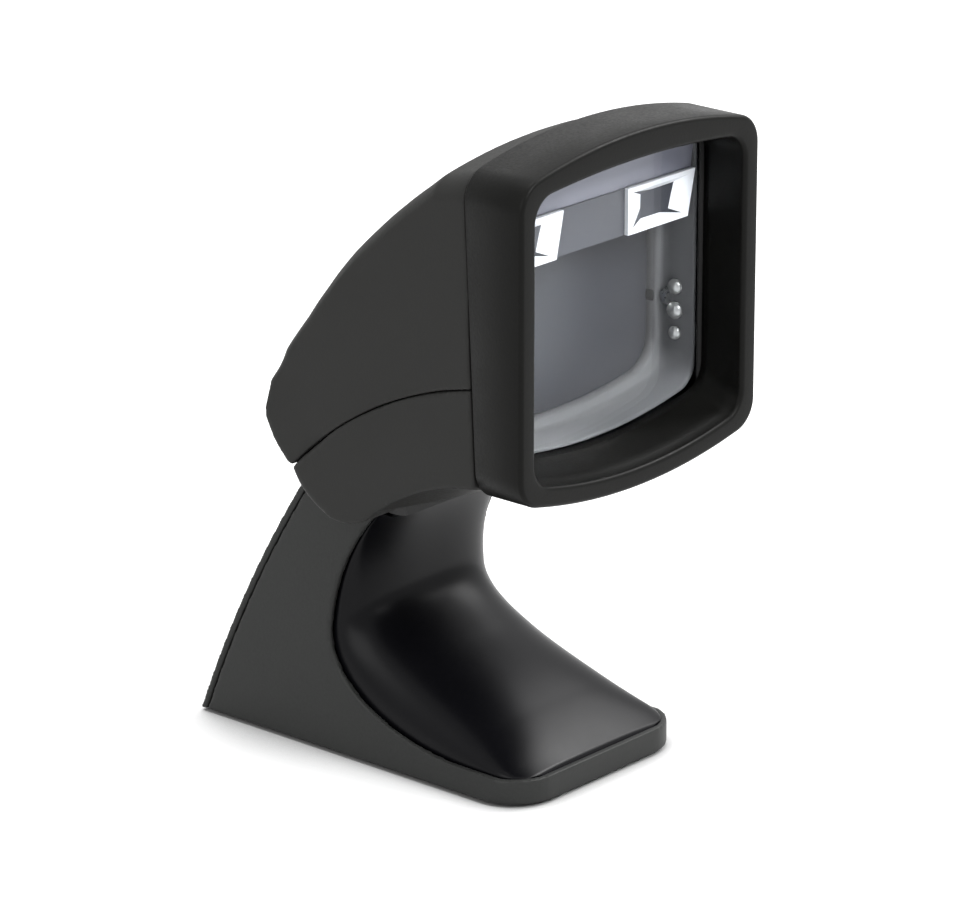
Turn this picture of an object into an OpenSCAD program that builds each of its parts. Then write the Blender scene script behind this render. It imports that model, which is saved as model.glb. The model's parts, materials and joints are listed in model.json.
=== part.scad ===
// Presentation barcode scanner: a lift-off imaging head on a tilting saddle and a weighted stand.
// Millimetres. +Z is up, the window faces -Y, and the origin is under the middle of the whole object.

/* [Head] */
// Width across the bezel
bezel_w = 78; // [74:0.5:84]
// Height of the bezel at its middle
bezel_h = 77.4; // [75:0.2:80]
// How far the bezel's lowest point lies below the tilt axis
bezel_drop = 3.8; // [3:0.1:5]
// How far the bezel's face stands in front of the tilt axis
bezel_reach = 52.9; // [51:0.1:56]
// Rise of the curved top edge, from the corners to the middle
top_rise = 4.7; // [4:0.1:5.5]
// Fall of the curved bottom edge, from the corners to the middle
bottom_fall = 5.2; // [4.5:0.1:5.8]
// Radius of the bezel's outer corners
bezel_corner = 7; // [5:0.5:9]
// Thickness of the bezel's front rim
rim_t = 4.8; // [4.2:0.1:5.6]
// Distance of the window in front of the foot of the rear seam
window_set = 1.1; // [0.9:0.1:1.6]
// Slope of the hood's floor, degrees
hood_slope = 20; // [12:1:24]
// Wall of the two head covers
cover_wall = 2.2; // [1.8:0.1:2.6]
// Distance from the tilt axis forward to the foot of the bezel's rear seam
seam_reach = 39.9; // [39.5:0.1:40.5]
// Lean of the bezel's rear seam, degrees
seam_lean = 2.8; // [2:0.1:3.5]
// Narrowing of the head at its rear, each side
head_taper = 1.6; // [1:0.1:2.5]
// Width of the open line between neighbouring mouldings
seam_gap = 0.2; // [0.1:0.05:0.3]

/* [Window and optics] */
// Thickness of the glass window
window_t = 1.5; // [1.2:0.1:1.8]
// Lap of the window behind the hood's edge
window_lap = 1.3; // [1:0.1:1.6]
// Thickness of the gasket in front of the window
gasket_t = 0.5; // [0.4:0.1:0.6]
// Depth of the optical chamber behind the window
chamber_d = 14; // [13:0.5:15]
// Wall of the optical chamber
chamber_wall = 1.4; // [1.2:0.1:1.6]
// Width of one illumination lens
lens_w = 17; // [15:0.5:18]
// Height of one illumination lens
lens_h = 11.5; // [10:0.5:12.5]
// Distance from an illumination lens to the chamber's side wall
lens_margin = 2.1; // [1.2:0.1:2.6]
// Height of the illumination lenses above the tilt axis
lens_z = 53; // [52:0.5:54]
// Width of the fold mirror
mirror_w = 46; // [42:1:48]
// Length of the fold mirror along its slope
mirror_l = 33; // [30:1:34]
// Thickness of the fold mirror
mirror_t = 1.6; // [1.4:0.1:2]
// Diameter of the camera's lens barrel
barrel_dia = 9; // [8:0.5:10]

/* [Trigger and socket] */
// Length of the trigger button along the head
button_l = 19; // [16:0.5:22]
// Width of the trigger button
button_w = 12; // [10:0.5:13]
// Height of the trigger button above the cover
button_rise = 1.3; // [1:0.1:1.6]
// Travel of the trigger button
button_travel = 0.8; // [0.6:0.1:0.9]
// Clearance around the trigger button
button_gap = 0.3; // [0.2:0.05:0.4]
// Width of the cable socket's mouth
socket_w = 11.7; // [11:0.1:12.5]
// Height of the cable socket's mouth
socket_h = 6.8; // [6.2:0.1:7.2]
// Depth of the cable socket
socket_d = 12; // [11:0.5:13]

/* [Saddle and tilt] */
// Height of the tilt axis above the counter
tilt_z = 73.9; // [73:0.1:76]
// Distance of the tilt axis behind the front of the foot
tilt_y = 43.5; // [42:0.1:45]
// Radius of the round keel under the head
keel_r = 14.4; // [14:0.1:14.8]
// Clearance between keel and saddle, and between saddle and stand
tilt_gap = 0.3; // [0.25:0.05:0.4]
// Thickness of the saddle
saddle_t = 2.3; // [2.2:0.1:2.6]
// Width of the saddle
saddle_w = 41; // [40:0.5:42]
// Diameter of the two tilt screws
tilt_screw = 2.6; // [2.4:0.1:3]
// Distance between the two tilt screws
tilt_screw_pitch = 30; // [28:0.5:32]
// Forward tilt of the head from rest, degrees
tilt_forward = 25; // [15:1:25]
// Backward tilt of the head from rest, degrees
tilt_back = 15; // [5:1:15]

/* [Stand] */
// Width of the foot
foot_w = 57.2; // [54:0.2:62]
// Inward lean of the stand's sides, as a slope
side_draft = 0.1; // [0.06:0.01:0.12]
// Height of the foot's front edge
foot_t = 6.3; // [6:0.1:8]
// Radius of the foot's front corners, seen from above
foot_corner = 11; // [8:0.5:14]
// Depth of the stand along the counter, to the seam of its rear panel
stand_d = 93.5; // [91:0.5:97]
// Radius of the stand's bowed rear
rear_r = 265; // [240:5:300]
// How far back the front sweep reaches
sweep_y = 57.8; // [56:0.2:60]
// Height at which the front sweep reaches furthest back
sweep_z = 28; // [26:0.5:30]
// Length of the sweep's lower curve along the foot
sweep_l = 43; // [40:0.5:45]
// Radius of the sweep's upper curve
sweep_r = 41.6; // [40:0.2:44]
// Height of the front panel's crown across the stand
panel_crown = 3.2; // [2:0.1:3.6]
// Thickness of the front panel
panel_t = 2.2; // [1.8:0.1:2.6]
// Thickness of the rear panel
rear_t = 1.6; // [1.4:0.1:2]
// Wall of the stand
stand_wall = 2.4; // [2:0.1:3]
// Thickness of the base plate
plate_t = 2.4; // [2:0.1:2.8]
// Thickness of the non-slip pad
pad_t = 1.2; // [1:0.1:1.6]
// Distance between the two counter fixing holes
fix_pitch = 28; // [24:1:32]
// Diameter of the counter fixing holes
fix_dia = 3.4; // [3:0.1:4]

/* [Hidden] */
$fn = 96;
far = 400;
eps = 0.01;
fit = 0.05;

// Front-to-back extent of the whole object, from the foot's front edge.
rear_axis_z = -79.8;
rear_axis_y = stand_d - sqrt(rear_r * rear_r - rear_axis_z * rear_axis_z);
stand_rear = rear_axis_y + sqrt(pow(rear_r + seam_gap + rear_t, 2) - pow(rear_axis_z - pad_t / 2, 2));
bezel_front = tilt_y - bezel_reach;
mid_y = (stand_rear + bezel_front) / 2;

// Head outline, measured from the tilt axis.
head_top = bezel_h - bezel_drop;
top_r = (bezel_w * bezel_w / 4 + top_rise * top_rise) / (2 * top_rise);
bottom_r = (bezel_w * bezel_w / 4 + bottom_fall * bottom_fall) / (2 * bottom_fall);
seam_slope = tan(seam_lean);
back_crown = 4.5;
back_r = 147.5;
back_top = [-28.24, head_top];
back_tip = [29.41, 12.3];
back_chord = back_tip - back_top;
back_axis = (back_top + back_tip) / 2 + [back_chord[1], -back_chord[0]] / norm(back_chord)
  * sqrt(back_r * back_r - pow(norm(back_chord) / 2, 2));
back_bow_r = (bezel_w * bezel_w / 4 + back_crown * back_crown) / (2 * back_crown);
back_corner = 6;
rump_z = 11.9;
rump_r = 21.6;
rump_low = 8.6;
rump_high = 12.3;
rump_tip = 24.4;
belly_z = -9.4;
arch_axis = [-47.2, -57.8];
arch_mid_r = 55.5;
arch_side_r = arch_mid_r + bottom_fall;
split_axis = [-60.7, -79.2];
split_r = 105.7;

// Hood and window.
hood_w = bezel_w - 2 * rim_t;
hood_top = head_top - rim_t;
floor_step = 0.5;
hood_bottom = -bezel_drop + rim_t - 0.4 - floor_step;
hood_top_rise = 1.5;
hood_bottom_fall = 4.4;
hood_top_r = (hood_w * hood_w / 4 + hood_top_rise * hood_top_rise) / (2 * hood_top_rise);
hood_bottom_r = (hood_w * hood_w / 4 + hood_bottom_fall * hood_bottom_fall) / (2 * hood_bottom_fall);
hood_corner = bezel_corner - 1;
window_y = -seam_reach - window_set;
glass_rear = window_y + window_t;

// Optical chamber.
chamber_front = glass_rear + seam_gap;
chamber_rear = chamber_front + chamber_d;
chamber_w = hood_w - 7.4;
lens_pitch = chamber_w - 2 * chamber_wall - lens_w - 2 * lens_margin;
recess_w = mirror_w + 2;
recess_low = 9;
recess_high = 46;
strip_y = chamber_front + 5.5;
strip_t = 1.6;
led_board_t = 1.2;
led_board_y = strip_y + strip_t + 1.2;
led_board_x = chamber_w / 2 - chamber_wall - 0.1;
mirror_mid = [-16.5, 24.5];
camera_y = -19.5;
camera_low = 42.2;
barrel_l = 7.5;

// Boards behind the mirror.
board_t = 1.6;
board_w = 58;
board_l = 38;
board_mid = [5.6, 32];
board_lean = 35.3;
board_post = 4.6;
board_post_x = 25;
board_post_l = 15;
screw_dia = 2;
screw_head = 3.8;

// Socket for the cable.
jack_wall = 1.1;
jack_w = socket_w + 2 * jack_wall;
jack_h = socket_h + 2 * jack_wall + 2.4;
jack_rear = 20.2;
jack_low = 1.8;
jack_board_t = 1.2;

// Trigger, measured along the ray that leaves the axis of the head's back.
button_z = 60.4;
button_turn = asin((button_z - back_axis[1]) / back_r);
button_flange = 1.2;
trigger_seat = back_r - cover_wall - button_flange - 0.9;
switch_t = 3.4;
trigger_board_t = 1.2;

// Saddle and tilt friction.
saddle_in = keel_r + tilt_gap;
saddle_out = saddle_in + saddle_t;
cradle_r = saddle_out + tilt_gap + 0.2;
cradle_t = 3;
saddle_from = 256;
saddle_to = 326;
screw_turn = 300;
slot_play = 0.2;
groove_w = 5.6;
tilt_head = 5;
tilt_head_t = 0.9;
washer_t = 0.5;
bar_t = 2.4;
magnet_t = 1.3;
key_w = 4;
key_t = 0.7;
lip_turn = 330;

// Stand.
shell_low = 0.6;
plate_low = pad_t;
plate_top = pad_t + plate_t;
sweep_low_y = sweep_y - sweep_l;
sweep_drop = sweep_z - foot_t;
rim_w = 1.5;
ledge_w = 1.8;
ledge_t = 1.6;
lid_t = 1.8;
panel_bed = panel_t + seam_gap + 0.15;
post_front_y = 50;
post_rear_y = 81;
post_x = 18.5;
post_dia = 6.4;
ballast_front = 54;
ballast_rear = 76;
ballast_w = 44;
ballast_h = 10;
peg_dia = 4;
fix_y = 33;

// Half the stand's width at a height.
function stand_half(z) = foot_w / 2 - side_draft * z;

// A point on the front sweep's side edge: t runs 0 to 1 along the foot, to 2 round the lower curve,
// to 3 up the upper curve. top_turn is where the upper curve ends.
top_turn = 50;
function sweep_point(t) =
  t <= 1 ? [t * sweep_low_y, foot_t] :
  t <= 2 ? [sweep_low_y + sweep_l * sin(90 * (t - 1)), sweep_z - sweep_drop * cos(90 * (t - 1))] :
  [sweep_y - sweep_r + sweep_r * cos(top_turn * (t - 2)), sweep_z + sweep_r * sin(top_turn * (t - 2))];
function unit(v) = v / norm(v);
function sweep_normal(t) =
  t <= 1 ? [0, 1] :
  t <= 2 ? unit([-sin(90 * (t - 1)) * sweep_drop, cos(90 * (t - 1)) * sweep_l]) :
  -[cos(top_turn * (t - 2)), sin(top_turn * (t - 2))];

// ---- helpers ----

module in_place() { translate([0, -mid_y, 0]) children(); }
module on_axis() { in_place() translate([0, tilt_y, tilt_z]) children(); }

// A flat drawing in (y, z) drawn out w wide along X, and one in (x, z) drawn out from y0 to y1.
module along_x(w) { rotate([90, 0, 90]) translate([0, 0, -w / 2]) linear_extrude(w) children(); }
module along_y(y0, y1) { translate([0, y1, 0]) rotate([90, 0, 0]) linear_extrude(y1 - y0) children(); }

// A box between two corners.
module slab(lo, hi) { translate(lo) cube(hi - lo); }

// The same thing on both sides.
module both() {
  children();
  mirror([1, 0, 0]) children();
}

// A ring sector round the tilt axis, w wide.
module arc_band(r0, r1, a0, a1, w) {
  am = (a0 + a1) / 2;
  along_x(w) intersection() {
    difference() {
      circle(r1);
      circle(r0);
    }
    polygon([[0, 0], far * [cos(a0), sin(a0)], far * [cos(am), sin(am)], far * [cos(a1), sin(a1)]]);
  }
}

// Stands children, drawn along +Z, on a ray of angle a in the (y, z) plane at x.
module on_ray(a, x) { translate([x, 0, 0]) rotate([a - 90, 0, 0]) children(); }

// A shape with a crowned top, straight sides and rounded top corners.
module crowned(w, top, bow_r, corner, low) {
  cx = w / 2 - corner;
  cy = top - bow_r + sqrt(pow(bow_r - corner, 2) - cx * cx);
  intersection() {
    translate([0, top - bow_r]) circle(bow_r, $fn = 180);
    polygon([[0, top - bow_r], [-cx * 1.5, top - bow_r + (cy - top + bow_r) * 1.5],
      [cx * 1.5, top - bow_r + (cy - top + bow_r) * 1.5]]);
    translate([-w, low]) square([2 * w, far]);
  }
  for (s = [-1, 1]) translate([s * cx, cy]) circle(corner, $fn = 48);
  translate([-w / 2, low]) square([w, cy - low]);
}

// The bezel's front view: crowned top and bottom.
module bezel_shape(w, top, bottom, top_bow, bottom_bow, corner) {
  mid = (top + bottom) / 2;
  crowned(w, top, top_bow, corner, mid - 1);
  translate([0, 2 * mid]) mirror([0, 1]) crowned(w, 2 * mid - bottom, bottom_bow, corner, mid - 1);
}
module outer_shape(g) {
  bezel_shape(bezel_w - 2 * g, head_top - g, g - bezel_drop, top_r - g, bottom_r - g, bezel_corner - min(g, 4));
}
// The opening seen through it, grown by g.
module hood_shape(g) {
  bezel_shape(hood_w + 2 * g, hood_top + g, hood_bottom - g, hood_top_r, hood_bottom_r, hood_corner + g);
}

// What lies behind the bezel's rear seam, g further back.
module behind_seam(g) {
  along_x(2 * bezel_w) polygon([
    [g - seam_reach - far * seam_slope, -far], [far, -far],
    [far, far], [g - seam_reach + far * seam_slope, far]
  ]);
}

// The whole closed head behind the bezel, drawn in by g.
module head_form(g) {
  w = bezel_w - seam_gap - 2 * g;
  difference() {
    intersection() {
      along_x(2 * bezel_w) {
        translate([0, rump_z]) circle(rump_r - g);
        circle(keel_r - g);
        polygon([
          [-seam_reach - 10, belly_z + g], [-keel_r / 2, belly_z + g], [-keel_r / 2, 0],
          [rump_r - g - 0.4, rump_low + g / 2], [rump_tip - g, rump_high + g / 2],
          [rump_tip - g, head_top], [-seam_reach - 10, head_top]
        ]);
      }
      translate([0, back_axis[0], back_axis[1]]) rotate([0, 90, 0]) rotate_extrude($fn = 180)
        intersection() {
          rotate([0, 0, -90]) crowned(w, back_r - g, back_bow_r - g, back_corner - min(g, 3), 20);
          translate([0, -far]) square(2 * far);
        }
      along_y(-seam_reach - 10, far / 4)
        crowned(w, head_top - seam_gap - g, top_r - g, bezel_corner - min(g, 4), -keel_r * 2);
      linear_extrude(far, center = true) polygon([
        [-w / 2, -seam_reach - 10], [w / 2, -seam_reach - 10],
        [w / 2, -seam_reach], [w / 2 - head_taper, rump_tip],
        [head_taper - w / 2, rump_tip], [-w / 2, -seam_reach]
      ]);
    }
    translate([0, arch_axis[0], arch_axis[1]]) rotate([0, 90, 0]) rotate_extrude($fn = 180) difference() {
      translate([0, -bezel_w]) square([arch_side_r + g, 2 * bezel_w]);
      translate([arch_mid_r + g + bottom_r, 0]) circle(bottom_r, $fn = 180);
    }
  }
}

// The air in front of the stand's sweep, g deeper into the stand.
module sweep_air(g) {
  intersection() {
    translate([sweep_y - sweep_r, sweep_z]) circle(sweep_r + g);
    translate([-far / 4, sweep_z]) square([far, far]);
  }
  polygon(concat(
    [[-far / 4, foot_t - g], [sweep_low_y, foot_t - g]],
    [for (a = [6:6:90]) [sweep_low_y + (sweep_l + g) * sin(a), sweep_z - (sweep_drop + g) * cos(a)]],
    [[-far / 4, sweep_z]]
  ));
  translate([-far / 4, sweep_z - eps]) square([far / 4 + sweep_low_y, far]);
  translate([-far / 4, sweep_z + sweep_r * 0.9]) square([far / 4 + tilt_y, far]);
}

// The stand's side view behind its front surface, drawn in by g; the saddle's cradle is cut out of its top.
module stand_side(g, low) {
  difference() {
    intersection() {
      translate([rear_axis_y, rear_axis_z]) circle(rear_r - g, $fn = 240);
      translate([g, low]) square([stand_d, tilt_z - low]);
    }
    sweep_air(g);
    translate([tilt_y, tilt_z]) {
      circle(cradle_r + g);
      polygon([[0, 0], [far * cos(lip_turn), far * sin(lip_turn) + g], [far, far], [0, far]]);
    }
  }
}

// Everything within the stand's drafted sides and rounded foot, drawn in by g.
module stand_limits(g) {
  top_half = stand_half(tilt_z) - g;
  low_half = stand_half(0) - g;
  intersection() {
    along_y(-far / 4, far / 2)
      polygon([[-low_half, 0], [low_half, 0], [top_half, tilt_z], [-top_half, tilt_z]]);
    linear_extrude(tilt_z) {
      translate([-low_half, foot_corner]) square([2 * low_half, far / 2]);
      for (s = [-1, 1]) translate([s * (foot_w / 2 - foot_corner), foot_corner])
        circle(foot_corner - g, $fn = 64);
      translate([foot_corner - foot_w / 2, g]) square([foot_w - 2 * foot_corner, foot_corner]);
    }
  }
}

// ---- stand ----

module post(y, low, high) {
  translate([post_x, y, low]) cylinder(d = post_dia, h = high - low);
  slab([post_x, y - 1, low], [stand_half(0) - stand_wall, y + 1, high]);
}

module base_shell() {
  color([0.23, 0.23, 0.225]) in_place() difference() {
    union() {
      difference() {
        intersection() {
          along_x(foot_w) stand_side(0, shell_low);
          stand_limits(0);
        }
        intersection() {
          along_x(foot_w) difference() {
            translate([stand_wall, 0]) square([far / 2, tilt_z]);
            translate([tilt_y, tilt_z]) circle(cradle_r + cradle_t);
          }
          stand_limits(stand_wall);
        }
        // the front panel lies over the cradle's front edge
        intersection() {
          along_x(foot_w) sweep_air(panel_bed);
          stand_limits(rim_w);
        }
      }
      // ledges under the front panel
      intersection() {
        along_x(foot_w) difference() {
          stand_side(panel_bed, plate_top + seam_gap);
          intersection() {
            stand_side(panel_bed + ledge_t, plate_top);
            translate([sweep_low_y, plate_top]) square(far);
          }
        }
        stand_limits(stand_wall - eps);
        difference() {
          slab([-foot_w, 0, 0], [foot_w, far, tilt_z]);
          stand_limits(stand_wall + ledge_w);
        }
      }
      // lid over the neck behind the cradle
      intersection() {
        along_x(foot_w) intersection() {
          stand_side(0, shell_low);
          translate([tilt_y, tilt_z]) rotate(lip_turn) translate([cradle_r, -lid_t]) square([far, lid_t]);
        }
        stand_limits(0);
      }
      intersection() {
        both() {
          post(post_front_y, plate_top, 10.5);
          post(post_rear_y, plate_top, 14);
        }
        stand_limits(stand_wall / 2);
      }
    }
    both() {
      for (y = [post_front_y, post_rear_y])
        translate([post_x, y, plate_top - 1]) cylinder(d = screw_dia + 2 * fit, h = 6.6);
      translate([0, tilt_y, tilt_z]) on_ray(screw_turn, tilt_screw_pitch / 2)
        cylinder(d = tilt_screw + 2 * tilt_gap, h = far / 8);
    }
    // seats for the friction pads
    translate([0, tilt_y, tilt_z]) both() translate([8, 0, 0])
      arc_band(cradle_r - 1, cradle_r + 1.2, 285, 326, 6.2);
  }
}

// One surface of the front panel: depth g behind its crowned face, at rows t and across u.
panel_rim = rim_w + seam_gap;
function panel_half(p) = p[0] >= foot_corner ? stand_half(p[1]) - panel_rim :
  stand_half(p[1]) - foot_corner + sqrt(pow(foot_corner - panel_rim, 2) - pow(foot_corner - p[0], 2));
function panel_point(t, u, g) = let(
    p = sweep_point(t),
    n = sweep_normal(t),
    rise = panel_crown * min(1, t * 0.9) * (1 - u * u) - g,
    q = p + n * rise
  ) [u * panel_half(p), q[0], q[1]];
panel_rows = 42;
panel_cols = 10;
panel_start = (rim_w + seam_gap) / sweep_low_y;

module front_panel() {
  steps = [for (i = [0:panel_rows]) panel_start + (3 - panel_start) * i / panel_rows];
  sides = [for (j = [0:panel_cols]) -1 + 2 * j / panel_cols];
  loop = 2 * (panel_cols + 1);
  points = [for (t = steps) each concat(
    [for (u = sides) panel_point(t, u, 0)],
    [for (j = [panel_cols:-1:0]) panel_point(t, sides[j], panel_t)]
  )];
  last = panel_rows * loop;
  faces = concat(
    [[for (k = [0:loop - 1]) k]],
    [for (i = [0:panel_rows - 1], k = [0:loop - 1])
      [i * loop + k, (i + 1) * loop + k, (i + 1) * loop + (k + 1) % loop, i * loop + (k + 1) % loop]],
    [[for (k = [loop - 1:-1:0]) last + k]]
  );
  color([0.1, 0.1, 0.11]) in_place() difference() {
    polyhedron(points, faces);
    along_x(foot_w) translate([tilt_y, tilt_z]) circle(cradle_r);
  }
}

module rear_panel() {
  color([0.2, 0.2, 0.2]) in_place() {
    intersection() {
      along_x(foot_w) difference() {
        translate([rear_axis_y, rear_axis_z]) circle(rear_r + seam_gap + rear_t, $fn = 240);
        translate([rear_axis_y, rear_axis_z]) circle(rear_r + seam_gap, $fn = 240);
        translate([tilt_y, tilt_z])
          polygon([[0, 0], [far * cos(lip_turn), far * sin(lip_turn)], [far, far], [0, far]]);
      }
      stand_limits(0);
      slab([-foot_w, stand_d / 2, shell_low], [foot_w, far, tilt_z]);
    }
    // ribs that locate it between the stand's walls
    intersection() {
      along_x(foot_w) difference() {
        stand_side(-seam_gap - eps, plate_top + 1);
        translate([rear_axis_y, rear_axis_z]) circle(rear_r - 2.4, $fn = 240);
        translate([tilt_y, tilt_z]) circle(cradle_r + cradle_t + 2);
      }
      stand_limits(stand_wall + 0.15);
      difference() {
        slab([-foot_w, 0, 0], [foot_w, far, tilt_z]);
        stand_limits(stand_wall + 1.6);
      }
      slab([-foot_w, 0, 16], [foot_w, far, tilt_z * 0.7]);
    }
  }
}

module base_plate() {
  color([0.13, 0.13, 0.13]) in_place() difference() {
    union() {
      intersection() {
        slab([-foot_w, 0, plate_low], [foot_w, stand_d - 1.6, plate_top]);
        stand_limits(stand_wall + 0.15);
      }
      both() {
        translate([fix_pitch / 2, fix_y, plate_top - eps]) cylinder(d = 7, h = 1.6);
        translate([ballast_w / 3, (ballast_front + ballast_rear) / 2, plate_top - eps])
          cylinder(d = peg_dia, h = ballast_h * 0.6);
      }
    }
    both() {
      translate([fix_pitch / 2, fix_y, 0]) cylinder(d = fix_dia, h = far / 8);
      for (y = [post_front_y, post_rear_y]) translate([post_x, y, 0]) {
        cylinder(d = screw_dia + 0.4, h = far / 8);
        cylinder(d = screw_head + 0.4, h = plate_low + 1.4);
      }
    }
  }
}

module ballast() {
  color([0.42, 0.42, 0.43]) in_place() difference() {
    slab([-ballast_w / 2, ballast_front, plate_top], [ballast_w / 2, ballast_rear, plate_top + ballast_h]);
    both() translate([ballast_w / 3, (ballast_front + ballast_rear) / 2, 0])
      cylinder(d = peg_dia + 2 * fit, h = far / 8);
  }
}

module non_slip_pad() {
  color([0.07, 0.07, 0.07]) in_place() difference() {
    intersection() {
      slab([-foot_w, 0, 0], [foot_w, stand_d - 3, pad_t]);
      stand_limits(stand_wall + 1.6);
    }
    both() translate([fix_pitch / 2, fix_y, -1]) cylinder(d = fix_dia, h = pad_t + 2);
  }
}

module base_screws() {
  color([0.6, 0.6, 0.62]) in_place() both() for (y = [post_front_y, post_rear_y])
    translate([post_x, y, plate_low]) {
      translate([0, 0, 0.1]) cylinder(d = screw_head, h = 1.3);
      cylinder(d = screw_dia, h = plate_t + 4.5);
    }
}

// ---- tilt ----

module tilt_screws() {
  color([0.6, 0.6, 0.62]) on_axis() both() on_ray(screw_turn, tilt_screw_pitch / 2) {
    translate([0, 0, saddle_out - 1.2 - tilt_head_t - 0.25]) cylinder(d = tilt_head, h = tilt_head_t);
    translate([0, 0, saddle_out - 1.2 - tilt_head_t])
      cylinder(d = tilt_screw, h = cradle_r + cradle_t + washer_t + bar_t + 1.6 - saddle_out + 2.1);
  }
}

module clamp_bar() {
  r = cradle_r + cradle_t + washer_t + 0.3;
  color([0.5, 0.5, 0.52]) on_axis() difference() {
    arc_band(r, r + bar_t, screw_turn - 9, screw_turn + 9, tilt_screw_pitch + 6.5);
    both() on_ray(screw_turn, tilt_screw_pitch / 2) cylinder(d = tilt_screw + 2 * fit, h = far / 8);
  }
}

module spring_washers() {
  r = cradle_r + cradle_t;
  color([0.7, 0.7, 0.7]) on_axis() both() on_ray(screw_turn, tilt_screw_pitch / 2)
    translate([0, 0, r + 0.05]) difference() {
      cylinder(d = tilt_screw * 2, h = washer_t);
      translate([0, 0, -1]) cylinder(d = tilt_screw + 0.3, h = 3);
    }
}

module friction_pads() {
  color([0.75, 0.72, 0.62]) on_axis() both() translate([8, 0, 0])
    arc_band(saddle_out + tilt_gap - 0.05, cradle_r + 1.15, 286, 325, 6);
}

module saddle() {
  color([0.12, 0.12, 0.12]) on_axis() difference() {
    union() {
      arc_band(saddle_in, saddle_out, saddle_from, saddle_to, saddle_w);
      arc_band(saddle_in - key_t, saddle_in + 0.5, 264, 308, key_w);
    }
    both() translate([tilt_screw_pitch / 2, 0, 0]) {
      // groove for the screw's head, and the slot it runs in
      arc_band(saddle_in - 1, saddle_out - 1.2, screw_turn - tilt_forward - 11,
        screw_turn + tilt_back + 11, groove_w);
      arc_band(saddle_in - 1, saddle_out + 1, screw_turn - tilt_forward - 5.5,
        screw_turn + tilt_back + 5.5, tilt_screw + 2 * slot_play);
    }
    both() translate([6.6, 0, 0])
      arc_band(saddle_out - magnet_t - 0.25, saddle_out + 1, 282, 298, 7.2);
  }
}

module saddle_magnets() {
  color([0.62, 0.63, 0.65]) on_axis() both() translate([6.6, 0, 0])
    arc_band(saddle_out - magnet_t - 0.2, saddle_out - 0.2, 282.4, 297.6, 7);
}

// ---- head ----

// Posts, drawn in from the back wall, that carry the main board.
module board_frame() {
  translate([0, board_mid[0], board_mid[1]]) rotate([board_lean - 90, 0, 0]) children();
}
board_corners = [for (x = [-1, 1], y = [-1, 1]) [x * board_post_x, y * board_post_l]];

// Where the four chamber screws run, as (x, z).
ear_x = chamber_w / 2 + 2.7;
ear_high = 56;
ear_low = 27;
ear_y = chamber_front + 7.4;
ear_t = 1.6;
chamber_ears = [for (x = [-1, 1], z = [ear_low, ear_high]) [x * ear_x, z]];

module socket_space(g, y0, y1) {
  slab([-socket_w / 2 - g, y0, jack_low + jack_board_t + jack_wall - g],
    [socket_w / 2 + g, y1, jack_low + jack_board_t + jack_wall + socket_h + g]);
}

module head_shell() {
  difference() {
    intersection() {
      head_form(0);
      behind_seam(seam_gap);
    }
    difference() {
      head_form(cover_wall);
      // bosses for the chamber screws, joined to the side walls
      for (p = chamber_ears) {
        translate([p[0], ear_y + ear_t, p[1]]) rotate([-90, 0, 0]) cylinder(d = 5, h = 9);
        slab([p[0] - 1, ear_y + ear_t, p[1] - 1.5] + [p[0] > 0 ? 0 : -bezel_w, 0, 0],
          [p[0] + 1, ear_y + ear_t + 9, p[1] + 1.5] + [p[0] > 0 ? bezel_w : 0, 0, 0]);
      }
      // posts for the main board
      board_frame() for (p = board_corners)
        translate([p[0], p[1], board_t]) cylinder(d = board_post, h = 40);
      // ribs that carry the socket's board
      for (x = [-8, 8]) slab([x - 0.8, -4, -far], [x + 0.8, 15, jack_low]);
      // ribs that carry the trigger's board
      translate([0, back_axis[0], back_axis[1]]) for (s = [-1, 1]) on_ray(button_turn, s * 9.4)
        slab([-0.8, -5, trigger_seat - switch_t], [0.8, 5, back_r]);
    }
    for (p = chamber_ears)
      translate([p[0], ear_y, p[1]]) rotate([-90, 0, 0]) cylinder(d = screw_dia + 2 * fit, h = 7.5);
    board_frame() for (p = board_corners)
      translate([p[0], p[1], 0]) cylinder(d = screw_dia + 2 * fit, h = 5.4);
    socket_space(0.5, 0, far);
    translate([0, back_axis[0], back_axis[1]]) on_ray(button_turn, 0)
      button_plan(button_gap, back_r - cover_wall - 3, back_r + 5);
    // groove that the saddle's key runs up into
    arc_band(saddle_in - key_t - tilt_gap, keel_r + 1, 262.5, 309.5, key_w + 2 * tilt_gap);
  }
}

// The trigger's stadium outline, drawn out between two radii on its ray.
module button_plan(g, r0, r1) {
  for (s = [-1, 1]) translate([0, s * (button_l - button_w) / 2, r0])
    cylinder(d = button_w + 2 * g, h = r1 - r0, $fn = 64);
  slab([-button_w / 2 - g, (button_w - button_l) / 2, r0], [button_w / 2 + g, (button_l - button_w) / 2, r1]);
}

module split_side(g) {
  along_x(2 * bezel_w) translate(split_axis) circle(split_r + g, $fn = 240);
}

module upper_cover() {
  color([0.235, 0.235, 0.23]) on_axis() difference() {
    head_shell();
    split_side(seam_gap / 2);
  }
}

module lower_cover() {
  color([0.235, 0.235, 0.23]) on_axis() intersection() {
    head_shell();
    split_side(-seam_gap / 2);
  }
}

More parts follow.
